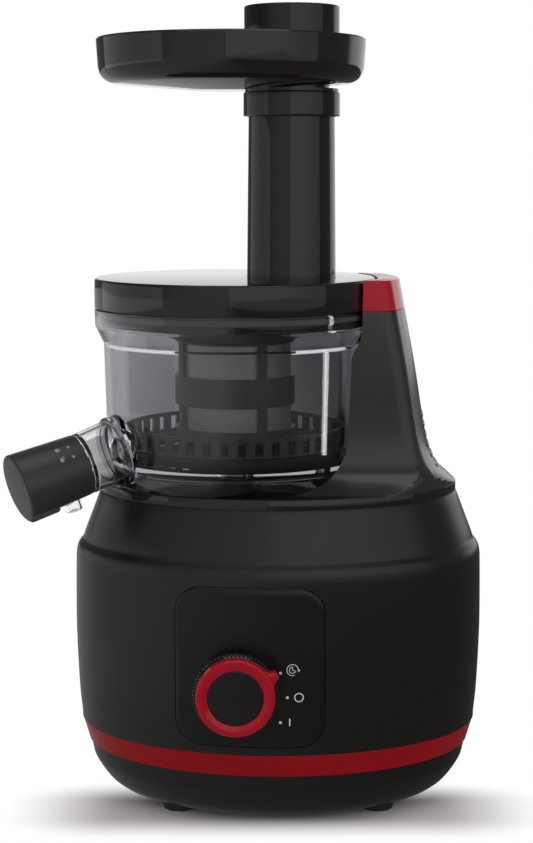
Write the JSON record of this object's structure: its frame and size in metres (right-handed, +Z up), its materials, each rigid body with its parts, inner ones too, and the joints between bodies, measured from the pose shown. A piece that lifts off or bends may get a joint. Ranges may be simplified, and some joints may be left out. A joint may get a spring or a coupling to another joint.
{
  "type": "cold press juicer",
  "caption": "Slow juicer: oval motor base with knob and tower, clear bowl with strainer, auger and turning brush, lid with feed tube, tray and pusher.",
  "frame": {"origin": "bottom centre of the bounding box, on the table the feet stand on", "axes": "+X to the right and +Y to the back seen from the knob's side, +Z up along the feed tube"},
  "size_m": [0.24, 0.1748, 0.3994],
  "materials": {
    "gloss_black": "high gloss moulded",
    "satin_black": "fine satin",
    "accent_red": "gloss lacquered",
    "ring_red": "satin lacquered",
    "rubber_black": "matte",
    "steel": "bright",
    "zinc_steel": "zinc plated",
    "motor_steel": "plated",
    "copper_winding": "enamelled wire",
    "bronze": "sintered",
    "gear_white": "acetal",
    "gear_grey": "glass filled nylon",
    "structure_grey": "glass filled nylon",
    "board_green": "circuit board",
    "component_dark": "moulded",
    "magnet": "nickel plated",
    "smoke_clear": "smoked clear plastic",
    "spout_clear": "clear plastic",
    "strainer_grey": "satin",
    "mesh_steel": "etched",
    "auger_dark": "satin resin",
    "silicone": "silicone"
  },
  "bodies": {
    "base": {"bottom_cover": "satin_black", "rubber_feet": "rubber_black", "accent_band": "accent_red", "main_housing": "satin_black", "cover_screws": "zinc_steel", "cord_inlet_bush": "rubber_black", "control_panel": "satin_black", "rotary_switch": "component_dark", "deck": "gloss_black", "tower": "gloss_black", "vent_grille": "satin_black", "tower_cap": "accent_red", "lid_sensor": "component_dark", "gearbox_housing": "structure_grey", "gearbox_cover": "structure_grey", "gearbox_screws": "zinc_steel", "drive_bushes": "bronze", "layshaft_pin": "steel", "motor_case": "motor_steel", "motor_cover": "motor_steel", "motor_screws": "zinc_steel", "motor_bearings": "bronze", "motor_stator": "motor_steel", "motor_coils": "copper_winding", "motor_pad": "rubber_black", "circuit_board": "board_green", "board_components": "component_dark"},
    "drive": {"drive_shaft": "steel", "drive_gear": "gear_white"},
    "compound": {"compound_gear": "gear_grey"},
    "rotor": {"motor_shaft": "steel", "motor_rotor": "motor_steel", "motor_fan": "component_dark"},
    "knob": {"knob_body": "gloss_black", "knob_shaft": "steel", "knob_ring": "ring_red", "knob_insert": "gloss_black"},
    "bowl": {"bowl_shell": "smoke_clear", "spout_boss": "smoke_clear", "pulp_duct": "smoke_clear", "shaft_seal": "silicone", "idler_pin": "steel", "juice_spout": "spout_clear", "spout_seal": "silicone"},
    "idler": {"brush_idler": "gear_grey"},
    "brush": {"brush_cage": "strainer_grey", "wiper_blades": "silicone"},
    "cap": {"spout_cap": "gloss_black"},
    "strainer": {"strainer_frame": "strainer_grey", "strainer_mesh": "mesh_steel"},
    "auger_body": {"auger": "auger_dark", "auger_pin": "steel", "auger_gear": "gear_grey"},
    "lid_body": {"lid": "gloss_black", "feed_tube": "gloss_black", "lid_gasket": "silicone", "lid_magnet": "magnet"},
    "tray_body": {"tray": "gloss_black"},
    "pusher_body": {"pusher": "gloss_black", "pusher_ring": "silicone"}
  },
  "joints": [
    {"name": "drive_spin", "type": "hinge", "parent": "base", "child": "drive", "pos_m": [-0.00675, 0.0034, 0.134], "axis": [0, 0, 1], "continuous": true},
    {"name": "compound_spin", "type": "hinge", "parent": "base", "child": "compound", "pos_m": [0.03575, 0.0034, 0.1215], "axis": [0, 0, 1], "continuous": true},
    {"name": "motor_spin", "type": "hinge", "parent": "base", "child": "rotor", "pos_m": [0.06575, 0.0034, 0.046], "axis": [0, 0, 1], "continuous": true},
    {"name": "knob_turn", "type": "hinge", "parent": "base", "child": "knob", "pos_m": [-0.00545, -0.0722, 0.072], "axis": [0, 1, 0], "range_deg": [0, 58]},
    {"name": "bowl_lift", "type": "slide", "parent": "base", "child": "bowl", "axis": [0, 0, 1], "range_m": [0, 0.115]},
    {"name": "idler_spin", "type": "hinge", "parent": "bowl", "child": "idler", "pos_m": [0.02475, 0.0034, 0.1752], "axis": [0, 0, 1], "continuous": true},
    {"name": "brush_spin", "type": "hinge", "parent": "bowl", "child": "brush", "pos_m": [-0.00675, 0.0034, 0.1752], "axis": [0, 0, 1], "continuous": true},
    {"name": "cap_twist", "type": "hinge", "parent": "bowl", "child": "cap", "pos_m": [-0.09039, -0.03921, 0.17283], "axis": [-0.8573, -0.4368, -0.2723], "range_deg": [0, 60]},
    {"name": "lid_lift", "type": "slide", "parent": "bowl", "child": "lid_body", "axis": [0, 0, 1], "range_m": [0, 0.2]},
    {"name": "strainer_lift", "type": "slide", "parent": "bowl", "child": "strainer", "axis": [0, 0, 1], "range_m": [0, 0.1]},
    {"name": "auger_spin", "type": "hinge", "parent": "strainer", "child": "auger_body", "pos_m": [-0.00675, 0.0034, 0.1832], "axis": [0, 0, 1], "continuous": true},
    {"name": "tray_lift", "type": "slide", "parent": "lid_body", "child": "tray_body", "axis": [0, 0, 1], "range_m": [0, 0.03]},
    {"name": "pusher_lift", "type": "slide", "parent": "tray_body", "child": "pusher_body", "axis": [0, 0, 1], "range_m": [0, 0.135]}
  ],
  "couplings": [
    {"joint": "compound_spin", "follows": "drive_spin", "ratio": -3.8571},
    {"joint": "motor_spin", "follows": "drive_spin", "ratio": 15.429},
    {"joint": "idler_spin", "follows": "drive_spin", "ratio": -0.75},
    {"joint": "brush_spin", "follows": "drive_spin", "ratio": -0.27273},
    {"joint": "auger_spin", "follows": "drive_spin", "ratio": 1},
    {"joint": "strainer_lift", "follows": "lid_lift", "ratio": 0.5}
  ]
}
